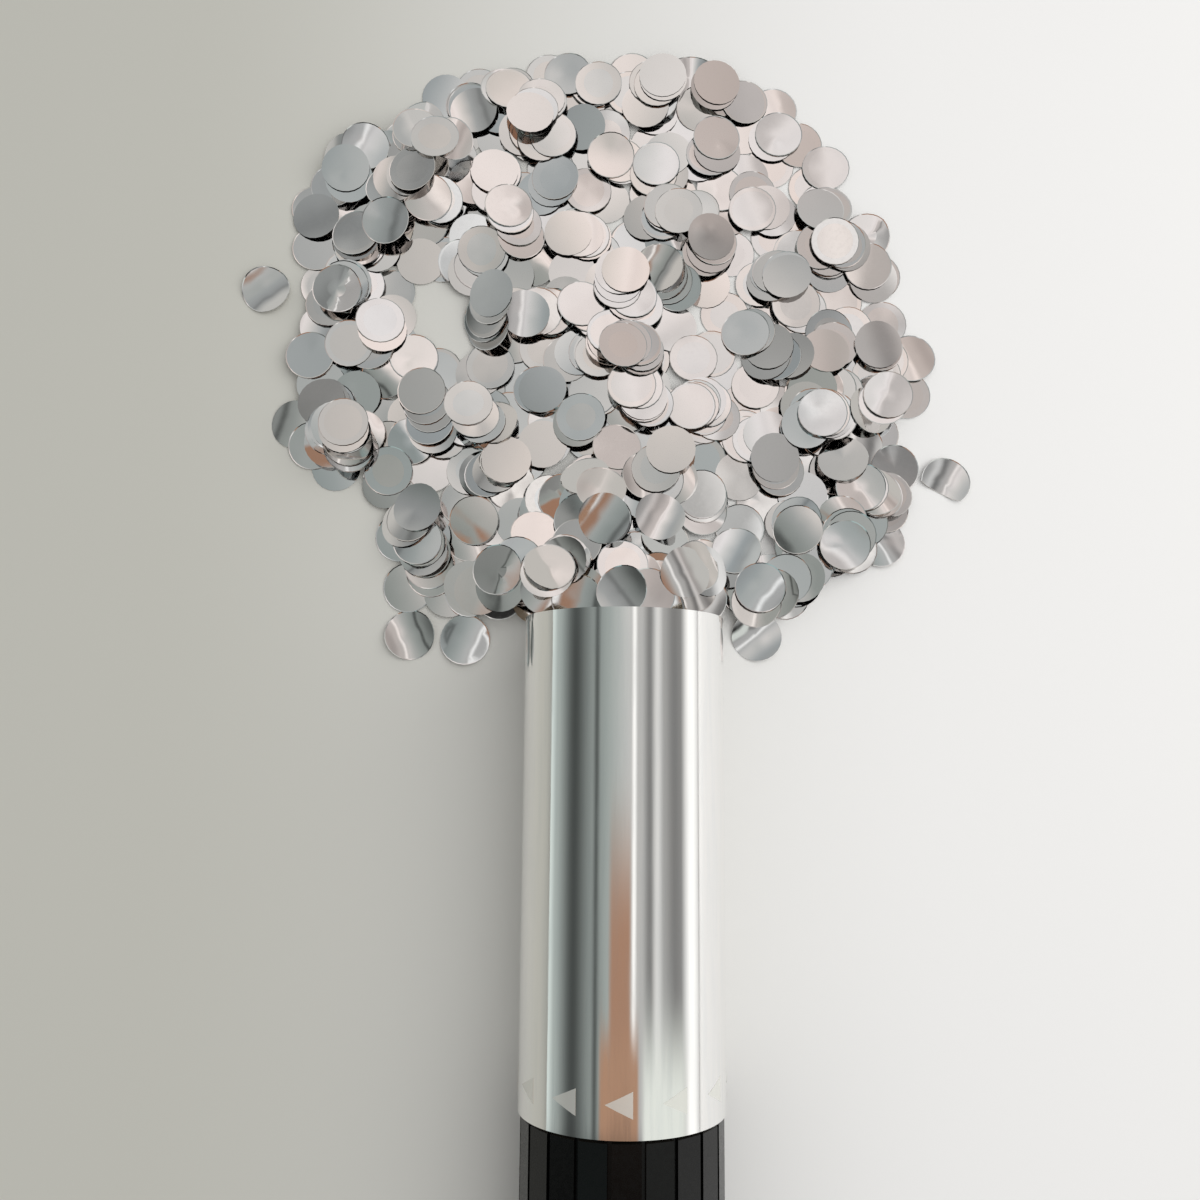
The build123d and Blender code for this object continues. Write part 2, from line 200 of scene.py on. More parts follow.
def wallTone(tree, angle, x, ahead):
    share = maths(tree, "ADD", maths(tree, "DIVIDE", angle, 2 * math.pi), 0.5)
    tone = ramp(tree, share, [(degrees / 360 + 0.5, grey(level)) for degrees, level in studio["walls"]])
    faint = maths(tree, "SUBTRACT", 1.0, maths(tree, "MULTIPLY", ahead, studio["stripsFade"]))
    for middle, half, level in studio["strips"]:
        off = maths(tree, "ABSOLUTE", maths(tree, "SUBTRACT", angle, math.radians(middle)))
        spot = maths(tree, "MULTIPLY", mapRange(tree, off, math.radians(half), 0.0), faint)
        tone = blendColours(tree, spot, tone, grey(level))
    across = maths(tree, "ADD", maths(tree, "DIVIDE", x, 2), 0.5)  # a ramp runs from 0 to 1
    tints = []
    for row in (studio["nearTints"], studio["farTints"]):
        tints.append(ramp(tree, across, [(place / 2 + 0.5, colour) for place, colour in row]))
    gain = (studio["gain"],) * 3 + (1.0,)
    tint = blendColours(tree, 1.0, blendColours(tree, ahead, *tints), gain, "MULTIPLY")
    return blendColours(tree, 1.0, tone, tint, "MULTIPLY")


def addCards(tree, tone, angle, y):
    for card in studio["cards"]:
        spot = 1.0
        for edge in ("from", "to"):
            side = mapRange(tree, angle, *[math.radians(degrees) for degrees in card[edge]])
            spot = maths(tree, "MULTIPLY", side, spot)
        for edge in ("behind", "until"):
            spot = maths(tree, "MULTIPLY", mapRange(tree, y, *card[edge]), spot)
        tone = blendColours(tree, spot, tone, card["colour"])
    return tone


def addHorizon(tree, tone, y, z):
    horizon = studio["horizon"]
    away = maths(tree, "MAXIMUM", mapRange(tree, y, *horizon["ahead"]),
                 mapRange(tree, y, *horizon["behind"]))
    low = maths(tree, "MULTIPLY", away, mapRange(tree, z, *horizon["below"]))
    return blendColours(tree, low, tone, horizon["colour"])


def skyLevel(tree, x, y):
    wayX, wayY = studio["skyWay"]
    side = maths(tree, "ADD", maths(tree, "MULTIPLY", x, wayX), maths(tree, "MULTIPLY", y, wayY))
    return mapRange(tree, side, -1.0, 1.0, *studio["skyLevels"])


def buildWorld():
    world = bpy.data.worlds.new("studio")
    world.use_nodes = True
    bpy.context.scene.world = world
    tree = world.node_tree
    parts = addNode(tree, "ShaderNodeSeparateXYZ")
    tree.links.new(addNode(tree, "ShaderNodeTexCoord").outputs["Generated"], parts.inputs[0])
    x, y, z = parts.outputs
    angle = maths(tree, "ARCTAN2", x, z)
    tone = wallTone(tree, angle, x, mapRange(tree, y, *studio["ahead"]))
    tone = addCards(tree, tone, angle, y)
    tone = addHorizon(tree, tone, y, z)
    ray = addNode(tree, "ShaderNodeLightPath")
    light = blendColours(tree, ray.outputs["Is Glossy Ray"], skyLevel(tree, x, y), tone)
    shown = blendColours(tree, ray.outputs["Is Camera Ray"], light, studio["backdrop"])
    tree.links.new(shown, tree.nodes["Background"].inputs["Color"])


def buildTable():
    half = studio["tableHalf"]
    corners = [(-half, -half, 0), (half, -half, 0), (half, half, 0), (-half, half, 0)]
    mesh = bpy.data.meshes.new("table")
    mesh.from_pydata(corners, [], [(0, 1, 2, 3)])
    table = bpy.data.objects.new("table", mesh)
    bpy.context.scene.collection.objects.link(table)
    material, tree, shader = newMaterial("table")
    parts = addNode(tree, "ShaderNodeSeparateXYZ")
    tree.links.new(addNode(tree, "ShaderNodeTexCoord").outputs["Object"], parts.inputs[0])
    # the table's colour blends across x from the greyer tone to the whiter one: painted light falling off
    # away from the lamp
    tone = blendColours(tree, mapRange(tree, parts.outputs[0], *studio["tablePaintedLightTurn"]), *studio["tablePaintedLightTones"])
    tree.links.new(tone, shader.inputs["Base Color"])
    shader.inputs["Roughness"].default_value = studio["tableRoughness"]
    mesh.materials.append(material)


def buildLamp():
    lamp = studio["lamp"]
    data = bpy.data.lights.new("lamp", "AREA")
    data.shape = "RECTANGLE"
    data.size, data.size_y = lamp["size"]
    data.energy = lamp["watts"]
    holder = bpy.data.objects.new("lamp", data)
    place = Vector(lamp["place"])
    holder.location = place
    holder.rotation_euler = (Vector(lamp["aim"]) - place).to_track_quat("-Z", "Y").to_euler()
    holder.visible_glossy = False  # reflections show the room instead
    bpy.context.scene.collection.objects.link(holder)


# Shader groups shared by several materials
crinkleNoise = {"broad": {"Detail": 2.0, "Roughness": 0.45}, "fine": {"Detail": 3.0, "Roughness": 0.6},
                "fineTimes": 9.0, "haze": (0.35, 0.7)}
grainNoise = {"pits": {"Detail": 4.0, "Roughness": 0.65}, "cloud": {"Scale": 45.0, "Detail": 3.0},
              "range": (0.3, 0.7), "depth": 0.05 * mm}


def newGroup(name, inputs, outputs):
    group = bpy.data.node_groups.new(name, "ShaderNodeTree")
    for label, value in inputs.items():
        socket = group.interface.new_socket(label, in_out="INPUT", socket_type="NodeSocketFloat")
        socket.default_value = value
    for label in outputs:
        group.interface.new_socket(label, in_out="OUTPUT", socket_type="NodeSocketFloat")
    return group, group.nodes.new("NodeGroupInput"), group.nodes.new("NodeGroupOutput")


def buildCrinkle():
    inputs = {"Scale": 60.0, "Along": 1.0, "Fine": 0.3}
    group, given, made = newGroup("foilCrinkle", inputs, ["Height", "Haze"])
    place = addNode(group, "ShaderNodeTexCoord")
    stretch = addNode(group, "ShaderNodeCombineXYZ", {"X": 1.0, "Z": 1.0})
    group.links.new(given.outputs["Along"], stretch.inputs["Y"])
    mapping = addNode(group, "ShaderNodeVectorMath", operation="MULTIPLY")
    group.links.new(place.outputs["Object"], mapping.inputs[0])
    group.links.new(stretch.outputs[0], mapping.inputs[1])
    broad = addNode(group, "ShaderNodeTexNoise", crinkleNoise["broad"])
    fine = addNode(group, "ShaderNodeTexNoise", crinkleNoise["fine"])
    for noise, times in ((broad, 1.0), (fine, crinkleNoise["fineTimes"])):
        group.links.new(mapping.outputs[0], noise.inputs["Vector"])
        group.links.new(maths(group, "MULTIPLY", given.outputs["Scale"], times), noise.inputs["Scale"])
    ripple = maths(group, "MULTIPLY", fine.outputs[0], given.outputs["Fine"])
    group.links.new(maths(group, "ADD", broad.outputs[0], ripple), made.inputs["Height"])
    group.links.new(mapRange(group, fine.outputs[0], *crinkleNoise["haze"]), made.inputs["Haze"])
    return group


def buildGrain():
    group, given, made = newGroup("mouldGrain", {"Scale": 900.0}, ["Height", "Cloud"])
    place = addNode(group, "ShaderNodeTexCoord")
    pits = addNode(group, "ShaderNodeTexNoise", grainNoise["pits"])
    cloud = addNode(group, "ShaderNodeTexNoise", grainNoise["cloud"])
    group.links.new(given.outputs["Scale"], pits.inputs["Scale"])
    for noise in (pits, cloud):
        group.links.new(place.outputs["Object"], noise.inputs["Vector"])
    group.links.new(pits.outputs[0], made.inputs["Height"])
    group.links.new(mapRange(group, cloud.outputs[0], *grainNoise["range"]), made.inputs["Cloud"])
    return group


def useGroup(tree, group, **values):
    return addNode(tree, "ShaderNodeGroup", values, node_tree=group)


def bump(tree, shader, height, strength, depth):
    node = addNode(tree, "ShaderNodeBump", {"Strength": strength, "Distance": depth})
    tree.links.new(height, node.inputs["Height"])
    tree.links.new(node.outputs[0], shader.inputs["Normal"])


# Foils: bright metal film, pressed smooth on the barrel and loose in the confetti
foils = {
    "silver_foil": {
        "name": "silverFoil", "colours": (srgb(252, 251, 249), srgb(247, 247, 246)),
        "roughness": (0.05, 0.10), "folds": {"Scale": 70.0, "Along": 0.06, "Fine": 0.1},
        "strength": 0.10, "depth": 0.4 * mm, "loose": False},
    "confetti_foil": {
        "name": "confettiFoil", "colours": (srgb(235, 228, 224), srgb(224, 227, 229)),
        "roughness": (0.05, 0.09), "folds": {"Scale": 110.0, "Along": 1.0, "Fine": 0.003},
        "strength": 0.05, "depth": 0.3 * mm, "loose": True}}


def foilMaterial(look, crinkle):
    material, tree, shader = newMaterial(look["name"])
    shader.inputs["Metallic"].default_value = 1.0
    folds = useGroup(tree, crinkle, **look["folds"])
    share = folds.outputs["Haze"]
    if look["loose"]:  # each disc has a tone of its own
        share = addNode(tree, "ShaderNodeNewGeometry").outputs["Random Per Island"]
    tree.links.new(blendColours(tree, share, *look["colours"]), shader.inputs["Base Color"])
    roughness = mapRange(tree, folds.outputs["Haze"], 0.0, 1.0, *look["roughness"])
    tree.links.new(roughness, shader.inputs["Roughness"])
    bump(tree, shader, folds.outputs["Height"], look["strength"], look["depth"])
    return material


# Plastics, rubber, metals and ink: a fine grain, two close tones, and sockets that are the same all over
moulded = {
    "black_plastic": {
        "name": "blackPlastic", "colours": (grey(3), grey(5)),
        "roughness": (0.24, 0.32), "strength": 0.08, "scale": 900.0, "sockets": {"Specular IOR Level": 0.3}},
    "white_plastic": {
        "name": "whitePlastic", "colours": (srgb(228, 227, 222), srgb(218, 217, 211)),
        "roughness": (0.36, 0.5), "strength": 0.15, "scale": 900.0, "sockets": {}},
    "slick_plastic": {
        "name": "slickPlastic", "colours": (srgb(236, 233, 222), srgb(226, 222, 208)),
        "roughness": (0.22, 0.34), "strength": 0.1, "scale": 900.0, "sockets": {}},
    "bottle_metal": {
        "name": "bottleMetal", "colours": (srgb(206, 206, 208), srgb(190, 191, 194)),
        "roughness": (0.28, 0.42), "strength": 0.12, "scale": 500.0, "sockets": {"Metallic": 1.0}},
    "spring_steel": {
        "name": "springSteel", "colours": (srgb(182, 182, 184), srgb(160, 161, 165)),
        "roughness": (0.2, 0.34), "strength": 0.12, "scale": 1600.0, "sockets": {"Metallic": 1.0}},
    "black_rubber": {
        "name": "blackRubber", "colours": (grey(24), grey(34)),
        "roughness": (0.7, 0.86), "strength": 0.4, "scale": 900.0, "sockets": {}},
    "print": {  # thin ink, so the foil shines through
        "name": "palePrint", "colours": (srgb(233, 232, 225), srgb(229, 229, 222)),
        "roughness": (0.1, 0.14), "strength": 0.02, "scale": 900.0, "sockets": {"Metallic": 0.42}}}


def mouldedMaterial(look, grain):
    material, tree, shader = newMaterial(look["name"])
    for label, value in look["sockets"].items():
        shader.inputs[label].default_value = value
    skin = useGroup(tree, grain, Scale=look["scale"])
    tree.links.new(blendColours(tree, skin.outputs["Cloud"], *look["colours"]), shader.inputs["Base Color"])
    roughness = mapRange(tree, skin.outputs["Height"], *grainNoise["range"], *look["roughness"])
    tree.links.new(roughness, shader.inputs["Roughness"])
    bump(tree, shader, skin.outputs["Height"], look["strength"], grainNoise["depth"])
    return material


# Card: a wound tube, with darker seams between its turns
tubeCard = {"colours": (srgb(196, 184, 164), srgb(176, 161, 139)), "seamColour": srgb(134, 119, 99),
            "winding": {"Scale": 12.0, "Distortion": 0.6, "Detail": 2.0}, "seam": (0.0, 0.12),
            "fibreScale": 1400.0, "roughness": 0.85, "strength": 0.4, "depth": 0.08 * mm}


def cardMaterial(grain):
    material, tree, shader = newMaterial("card")
    place = addNode(tree, "ShaderNodeTexCoord")
    winding = addNode(tree, "ShaderNodeTexWave", tubeCard["winding"], bands_direction="DIAGONAL")
    tree.links.new(place.outputs["Object"], winding.inputs["Vector"])
    seam = mapRange(tree, winding.outputs[1], *tubeCard["seam"])
    fibre = useGroup(tree, grain, Scale=tubeCard["fibreScale"])
    plain = blendColours(tree, fibre.outputs["Cloud"], *tubeCard["colours"])
    tree.links.new(blendColours(tree, seam, tubeCard["seamColour"], plain), shader.inputs["Base Color"])
    shader.inputs["Roughness"].default_value = tubeCard["roughness"]
    bump(tree, shader, fibre.outputs["Height"], tubeCard["strength"], tubeCard["depth"])
    return material


# Felt: a deep soft nap
wadFelt = {"colours": (srgb(120, 118, 114), srgb(196, 194, 189)), "napScale": 2200.0, "roughness": 0.95,
           "sheen": 0.3, "strength": 0.9, "depth": 0.25 * mm}


def feltMaterial(grain):
    material, tree, shader = newMaterial("felt")
    nap = useGroup(tree, grain, Scale=wadFelt["napScale"])
    tone = blendColours(tree, nap.outputs["Height"], *wadFelt["colours"])
    tree.links.new(tone, shader.inputs["Base Color"])
    shader.inputs["Roughness"].default_value = wadFelt["roughness"]
    shader.inputs["Sheen Weight"].default_value = wadFelt["sheen"]
    bump(tree, shader, nap.outputs["Height"], wadFelt["strength"], wadFelt["depth"])
    return material


def buildMaterials():
    crinkle = buildCrinkle()
    grain = buildGrain()
    made = {slot: foilMaterial(look, crinkle) for slot, look in foils.items()}
    made["card"] = cardMaterial(grain)
    made["felt"] = feltMaterial(grain)
    for slot, look in moulded.items():
        made[slot] = mouldedMaterial(look, grain)
    return made


def dressNodes(materials):
    slots = {piece["node"]: piece["material_slot"] for piece in frame["record"]["subparts"]}
    for name, holder in nodes.items():
        holder.data.materials.clear()
        holder.data.materials.append(materials[slots[name]])


def newPiece(name, points, faces, material, body, sharpFrom):
    mesh = bpy.data.meshes.new(name)
    mesh.from_pydata([tuple(point) for point in points], [], faces)
    mesh.materials.append(material)
    mesh.shade_smooth()
    mesh.set_sharp_from_angle(angle=math.radians(sharpFrom))
    piece = bpy.data.objects.new(name, mesh)
    bpy.context.scene.collection.objects.link(piece)
    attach(piece, body)
    return piece


# Arrow prints: pale triangles round the foil above the grip, pointing the way that the grip is twisted
arrows = {"count": 12, "fromSeam": 7.4 * mm, "halfWidth": 2.9 * mm, "length": 6.3 * mm, "lift": 0.04 * mm,
          "sink": 0.03 * mm, "first": -2.8, "steps": 6, "sharpFrom": 30.0}


def onFoil(angle, along, lift):
    radius = foilRadius + lift
    return (axisX + radius * math.sin(angle), seamY + along, axisZ + radius * math.cos(angle))


def buildArrows(material):
    points = []
    faces = []
    steps = arrows["steps"]
    half = arrows["length"] / foilRadius / 2
    layer = 2 * steps + 1  # points in one face of an arrow
    rim = [0] + [2 * k - 1 for k in range(1, steps + 1)] + [2 * k for k in range(steps, 0, -1)]
    for i in range(arrows["count"]):
        middle = math.radians(arrows["first"] + 360 * i / arrows["count"])
        start = len(points)
        for lift in (arrows["lift"], -arrows["sink"]):
            points.append(onFoil(middle - half, arrows["fromSeam"], lift))
            for k in range(1, steps + 1):
                angle = middle - half + 2 * half * k / steps
                reach = arrows["halfWidth"] * k / steps
                points.append(onFoil(angle, arrows["fromSeam"] - reach, lift))
                points.append(onFoil(angle, arrows["fromSeam"] + reach, lift))
        for base, flip in ((start, False), (start + layer, True)):
            rows = [(base, base + 1, base + 2)]
            for left in range(base + 1, base + layer - 2, 2):
                rows.append((left, left + 2, left + 3, left + 1))
            faces += [tuple(reversed(row)) if flip else row for row in rows]
        for first, second in zip(rim, rim[1:] + rim[:1]):
            faces.append((start + first, start + layer + first, start + layer + second, start + second))
    newPiece("arrowPrints", points, faces, material, "barrel", arrows["sharpFrom"])


# Plug spring: an open coil between the plug and the end cap, built at a fixed length and carried with the
# plug
spring = {"turns": 4, "wire": 0.8 * mm, "sides": 10, "stepsPerTurn": 36, "sharpFrom": 50.0}


def buildSpring(material):
    low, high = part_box("plug_spring")
    wire = spring["wire"] / 2
    coil = (high.x - low.x) / 2 - wire
    steps = spring["turns"] * spring["stepsPerTurn"]
    sides = spring["sides"]
    along = Vector((0, 1, 0))
    points = []
    for i in range(steps + 1):
        angle = 2 * math.pi * spring["turns"] * i / steps
        out = Vector((math.cos(angle), 0, math.sin(angle)))
        y = low.y + wire + (high.y - low.y - 2 * wire) * i / steps
        middle = Vector((axisX, y, axisZ)) + out * coil
        for k in range(sides):
            turn = 2 * math.pi * k / sides
            points.append(middle + (out * math.cos(turn) + along * math.sin(turn)) * wire)
    faces = [tuple(reversed(range(sides))), tuple(range(steps * sides, (steps + 1) * sides))]
    for i in range(steps):
        for k in range(sides):
            this = i * sides + k
            after = i * sides + (k + 1) % sides
            faces.append((this, after, after + sides, this + sides))
    piece = newPiece("plugSpring", points, faces, material, "plug", spring["sharpFrom"])
    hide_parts("plug_spring")
    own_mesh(piece)


# Confetti: foil discs that settle one by one on a height map of the table and of the discs below.
# Lengths are in millimetres, x from the barrel's axis and y from its mouth. A lean is a slope.
confetti = {
    "radius": 6.9, "thickness": 0.06, "gap": (0.05, 0.16), "seed": 11, "sharpFrom": 12.0,
    "flatRings": (24, (0.965, 1.0)), "bentRings": (26, (0.4, 0.72, 0.965, 1.0)),  # segments, then shares
    "lip": (0.055, 0.1), "lipFrom": 0.9,  # the rim stands up a little
    "left": -125.0, "right": 115.0, "back": -30.0, "front": 195.0, "cell": 0.5,  # the height map
    "searchSteps": (0.2, 0.06, 0.02, 0.006), "searchReach": 4,  # leans that are tried, finer each time
    "steepest": 0.75, "steepestFar": 0.2, "steepestBack": 0.12, "farFrom": 70, "farTo": 115,
    "outline": [(-54.6, 165.8), (-19.3, 173.1), (19.2, 173.4), (51.5, 160.3), (71.4, 132.2), (82.2, 104.8),
                (91.1, 72.0), (86.2, 54.5), (76.8, 20.1), (53.0, 6.0), (30.0, 0.2), (-30.0, 0.2),
                (-63.6, 3.0), (-70.3, 27.4), (-90.2, 38.7), (-101.0, 58.8), (-96.0, 73.5), (-98.5, 127.8),
                (-83.3, 146.6)],
    "bareSpots": [(-52.9, 98.3, 3.0), (-46.8, 83.3, 3.0), (21.9, 88.3, 1.5),
                  (-16.3, 46.8, 1.0)],  # place and width
    "strays": [(-103.0, 97.9, -0.9, 15), (90.5, 42.8, -0.5, 18), (-59.4, 11.5, 0.3, -50),
               (-58.5, -1.6, 0.4, 14), (-43.3, -2.9, -0.4, -20), (37.0, -1.2, -0.9, 13),
               (45.0, 10.3, 0.2, 60), (71.8, 25.2, 0.5, -18)],  # place, turn and radius of the bend
    "strayStiff": 1.0, "cutStray": 1, "cut": 3.6,  # one stray is cut straight, this far from its middle
    "spread": 258, "spreadTries": 6,
    "clumps": 92, "clumpTries": 4, "clumpSize": (2, 5), "farSize": (1, 4), "clumpStep": (0.6, 4.2),
    "clumpWay": (2.2, 1.1), "clumpBend": 0.9, "clumpLean": (-0.05, 0.16),
    "leftLean": 0.14, "leftFrom": 20, "leftReach": 50,  # clumps on the left lean more
    "laidLean": 0.03, "laidStiff": (0.8, 3),
    "tumbledShare": 0.35, "tumbledWild": 1.3, "tumbledLean": 0.2, "tumbledStiff": (2, 7),
    "mouthDiscs": 66, "mouthSpread": (21, 15), "mouthStart": 1.5, "mouthBore": 0.5, "mouthWild": 1.5,
    "mouthAside": 0.1, "mouthLean": (0.05, 0.12), "mouthStiff": (0.4, 2)}

# A disc is nearly flat, curled or creased, and some have a dent from the press
bends = {"flatRadius": 75, "plainRadius": 70, "curlChance": 0.55, "curlRadius": (10, 40), "curlTurn": 0.6,
         "lipOdds": (0, 1, 1), "creaseChance": 0.18, "creaseAt": (-3, 3), "creaseSlope": (0.08, 0.28),
         "creaseSoft": 0.3, "creaseSink": 0.55, "dentChance": 0.12, "dentWild": 0.3,
         "dentDepth": (0.06, 0.22), "dentReach": (0.2, 0.85), "dentSize": (1.1, 2.2)}

# The discs are bent most near the mouth, at the heap's edge and at its sides
rumple = {"least": 0.05, "low": 0.05, "mouth": 0.6, "edge": 0.5, "edgeLeft": 0.4, "left": 0.45, "right": 0.4,
          "mouthAt": 8, "mouthAcross": 0.6, "mouthReach": 45, "edgeReach": 30, "leftReach": 90,
          "rightFrom": 30, "rightReach": 60, "lowFrom": 110, "lowReach": 60}


def insideOutline(x, y):
    outline = confetti["outline"]
    inside = False
    for (x1, y1), (x2, y2) in zip(outline, outline[1:] + outline[:1]):
        if (y1 > y) != (y2 > y) and x < x1 + (y - y1) * (x2 - x1) / (y2 - y1):
            inside = not inside
    return inside


def edgeDistance(x, y):
    outline = confetti["outline"]
    least = math.inf
    for (x1, y1), (x2, y2) in zip(outline, outline[1:] + outline[:1]):
        length = math.hypot(x2 - x1, y2 - y1)
        share = clampShare(((x - x1) * (x2 - x1) + (y - y1) * (y2 - y1)) / length ** 2)
        least = min(least, math.hypot(x - x1 - share * (x2 - x1), y - y1 - share * (y2 - y1)))
    return least


def allowed(x, y):
    radius = confetti["radius"]
    if not insideOutline(x, y) or edgeDistance(x, y) < radius:
        return False
    for bareX, bareY, width in confetti["bareSpots"]:
        if math.hypot(x - bareX, y - bareY) <= radius + width / 2:
            return False
    return True


def wildness(x, y):
    fromMouth = math.hypot(x * rumple["mouthAcross"], y - rumple["mouthAt"])
    nearMouth = max(0.0, 1 - fromMouth / rumple["mouthReach"])
    nearEdge = max(0.0, 1 - edgeDistance(x, y) / rumple["edgeReach"])
    onLeft = clampShare(-x / rumple["leftReach"])
    onRight = clampShare((x - rumple["rightFrom"]) / rumple["rightReach"])
    lowDown = clampShare((rumple["lowFrom"] - y) / rumple["lowReach"])
    wild = rumple["least"] + rumple["low"] * lowDown + rumple["mouth"] * nearMouth
    wild += nearEdge * lowDown * (rumple["edge"] + rumple["edgeLeft"] * onLeft)
    wild += rumple["left"] * onLeft
    wild += rumple["right"] * onRight * lowDown
    return wild


def drawShape(draw, wild):
    shape = {"turn": draw.uniform(0, math.pi), "gap": draw.uniform(*confetti["gap"]),
             "curve": draw.uniform(-1, 1) / bends["flatRadius"],
             "lip": draw.choice(bends["lipOdds"]) * draw.uniform(*confetti["lip"]),
             "slope": 0.0, "crease": draw.uniform(*bends["creaseAt"]), "dent": 0.0}
    chance = draw.random()
    if chance < bends["creaseChance"] * wild:
        shape["slope"] = draw.choice((-1, 1)) * draw.uniform(*bends["creaseSlope"])
    elif chance < bends["curlChance"] * wild:
        shape["curve"] = draw.choice((-1, 1)) / draw.uniform(*bends["curlRadius"])
        shape["turn"] = draw.gauss(0, bends["curlTurn"])
    if draw.random() < bends["dentChance"] + bends["dentWild"] * wild:
        shape["dent"] = draw.choice((-1, 1)) * draw.uniform(*bends["dentDepth"])
        angle = draw.uniform(0, 2 * math.pi)
        reach = draw.uniform(*bends["dentReach"]) * confetti["radius"]
        shape["dentAt"] = (reach * math.cos(angle), reach * math.sin(angle))
        shape["dentSize"] = draw.uniform(*bends["dentSize"])
    plain = shape["slope"] == 0.0 and shape["dent"] == 0.0
    shape["flat"] = plain and abs(shape["curve"]) < 1 / bends["plainRadius"]
    return shape


def liftAt(shape, along, aside):
    lift = shape["curve"] * along * along / 2
    if shape["slope"]:
        fold = np.sqrt((along - shape["crease"]) ** 2 + bends["creaseSoft"]) - bends["creaseSink"]
        lift = lift + shape["slope"] * fold
    if shape["dent"]:
        gone = (along - shape["dentAt"][0]) ** 2 + (aside - shape["dentAt"][1]) ** 2
        lift = lift + shape["dent"] * np.exp(-gone / (2 * shape["dentSize"] ** 2))
    return lift


class Heap:
    def __init__(self):
        self.cell = confetti["cell"]
        self.columns = int((confetti["right"] - confetti["left"]) / self.cell)
        self.rows = int((confetti["front"] - confetti["back"]) / self.cell)
        self.height = np.zeros((self.rows, self.columns))
        self.discs = []
        radius = confetti["radius"]
        reach = int(radius / self.cell)
        grid = [(i, j) for i in range(-reach, reach + 1) for j in range(-reach, reach + 1)
                if math.hypot(i, j) * self.cell <= radius]
        self.columnStep = np.array([i for i, j in grid])
        self.rowStep = np.array([j for i, j in grid])
        self.across = self.columnStep * self.cell
        self.ahead = self.rowStep * self.cell
        self.edge = np.hypot(self.across, self.ahead) > confetti["lipFrom"] * radius
        self.addBarrel()

    # Behind the mouth the discs lie in the bore, and the tube's wall keeps them there
    def addBarrel(self):
        x = np.abs(confetti["left"] + self.cell * (np.arange(self.columns) + 0.5))
        bore = boreRadius / mm
        wall = axisZ / mm - np.sqrt(np.maximum(bore ** 2 - x ** 2, 0))
        wall[x > bore] = 2 * foilRadius / mm
        wall[x > foilRadius / mm + self.cell] = 0
        self.height[:int((self.cell - confetti["back"]) / self.cell)] = wall

    # Finds the lean that lets the disc lie low, near the lean that is wanted
    def settle(self, x, y, shape, want, stiff):
        column = int((x - confetti["left"]) / self.cell) + self.columnStep
        row = int((y - confetti["back"]) / self.cell) + self.rowStep
        turn = shape["turn"]
        along = self.across * math.cos(turn) + self.ahead * math.sin(turn)
        aside = self.ahead * math.cos(turn) - self.across * math.sin(turn)
        lift = liftAt(shape, along, aside)
        below = self.height[row, column] - lift
        far = clampShare((y - confetti["farFrom"]) / (confetti["farTo"] - confetti["farFrom"]))
        steepest = confetti["steepest"] + far * (confetti["steepestFar"] - confetti["steepest"])
        best = (0.0, 0.0)
        for step in confetti["searchSteps"]:
            grid = np.arange(-confetti["searchReach"], confetti["searchReach"] + 1) * step
            leanX, leanY = [lean.ravel() for lean in np.meshgrid(best[0] + grid, best[1] + grid)]
            tilted = below[None, :] - leanX[:, None] * self.across - leanY[:, None] * self.ahead
            needed = tilted.max(axis=1)
            cost = needed + stiff * ((leanX - want[0]) ** 2 + (leanY - want[1]) ** 2)
            cost[np.hypot(leanX, leanY) > steepest] = math.inf
            cost[leanY > confetti["steepestBack"]] = math.inf
            pick = int(cost.argmin())
            best = (float(leanX[pick]), float(leanY[pick]))
            height = float(needed[pick])
        height += shape["gap"]
        top = height + best[0] * self.across + best[1] * self.ahead + lift + confetti["thickness"]
        top = top + self.edge * shape["lip"]
        self.height[row, column] = np.maximum(self.height[row, column], top)
        self.discs.append({"x": x, "y": y, "z": height, "lean": best, "shape": shape, "cut": None})


def somewhere(draw):
    while True:
        x = draw.uniform(confetti["left"], confetti["right"])
        y = draw.uniform(0, confetti["front"])
        if allowed(x, y):
            return x, y


def farthest(draw, tries, others):
    spots = [somewhere(draw) for _ in range(tries)]
    return max(spots, key=lambda spot: min([math.dist(spot, other) for other in others] or [0]))


# Most discs are laid flat or with their clump's lean, and the wilder spots have some that tumbled
def layDisc(heap, draw, x, y, lean=(0.0, 0.0)):
    wild = wildness(x, y)
    if draw.random() < confetti["tumbledShare"] * wild:
        shape = drawShape(draw, confetti["tumbledWild"])
        want = (draw.gauss(0, confetti["tumbledLean"]), draw.gauss(0, confetti["tumbledLean"]))
        heap.settle(x, y, shape, want, draw.uniform(*confetti["tumbledStiff"]))
    else:
        want = (lean[0] + draw.gauss(0, confetti["laidLean"]), lean[1] + draw.gauss(0, confetti["laidLean"]))
        shape = drawShape(draw, wild)
        heap.settle(x, y, shape, want, draw.uniform(*confetti["laidStiff"]))


def layStrays(heap, draw):
    for x, y, turn, bend in confetti["strays"]:
        shape = drawShape(draw, 0.0)
        shape.update(turn=turn, curve=1 / bend, flat=False)
        heap.settle(x, y, shape, (0, 0), confetti["strayStiff"])
    heap.discs[confetti["cutStray"]]["cut"] = confetti["cut"]


def laySpread(heap, draw):
    spots = []
    for _ in range(confetti["spread"]):
        spots.append(farthest(draw, confetti["spreadTries"], spots))
        layDisc(heap, draw, *spots[-1])


